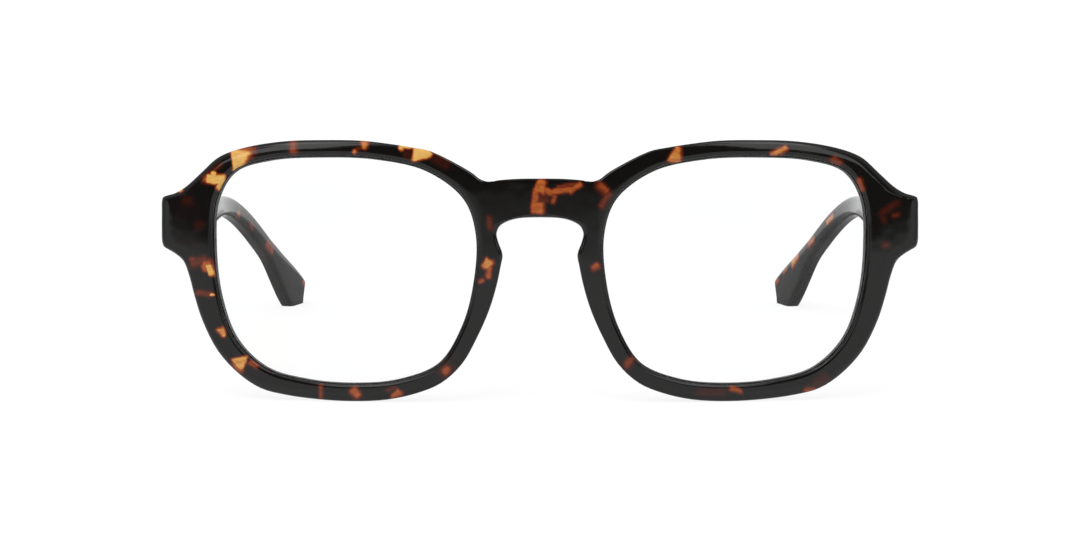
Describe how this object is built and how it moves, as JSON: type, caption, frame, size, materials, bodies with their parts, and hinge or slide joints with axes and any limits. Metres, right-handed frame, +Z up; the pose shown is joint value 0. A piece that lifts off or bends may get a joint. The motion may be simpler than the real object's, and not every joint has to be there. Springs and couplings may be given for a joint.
{
  "type": "spectacles",
  "caption": "Full-rim square acetate spectacles with a keyhole bridge, clear lenses and folding temples that hook over the ears.",
  "frame": {"origin": "on the table, at the middle of the face's width and half way between the front and the temple tips", "axes": "+X across the face to the right of the picture, +Y from the front to the temple tips, +Z up"},
  "size_m": [0.1438, 0.1366, 0.0488],
  "materials": {
    "tortoiseshell_acetate": "polished dark brown acetate with amber and red-brown patches",
    "clear_lens": "clear, polished on both faces",
    "hinge_metal": "satin nickel silver",
    "screw_steel": "bright steel",
    "wire_metal": "drawn nickel silver wire"
  },
  "bodies": {
    "front_frame": {"front": "tortoiseshell_acetate", "lens_left": "clear_lens", "lens_right": "clear_lens", "nose_pad_left": "tortoiseshell_acetate", "nose_pad_right": "tortoiseshell_acetate", "front_hinge_left": "hinge_metal", "front_hinge_right": "hinge_metal", "hinge_screw_left": "screw_steel", "hinge_screw_right": "screw_steel"},
    "left_temple": {"temple_left": "tortoiseshell_acetate", "temple_hinge_left": "hinge_metal", "core_wire_left": "wire_metal"},
    "right_temple": {"temple_right": "tortoiseshell_acetate", "temple_hinge_right": "hinge_metal", "core_wire_right": "wire_metal"}
  },
  "joints": [
    {"name": "left_temple_fold", "type": "hinge", "parent": "front_frame", "child": "left_temple", "pos_m": [-0.06519, -0.05529, 0.03249], "axis": [0, -0.0645, -0.9979], "range_deg": [0, 84]},
    {"name": "right_temple_fold", "type": "hinge", "parent": "front_frame", "child": "right_temple", "pos_m": [0.06519, -0.05529, 0.03249], "axis": [0, 0.0645, 0.9979], "range_deg": [0, 75]}
  ]
}
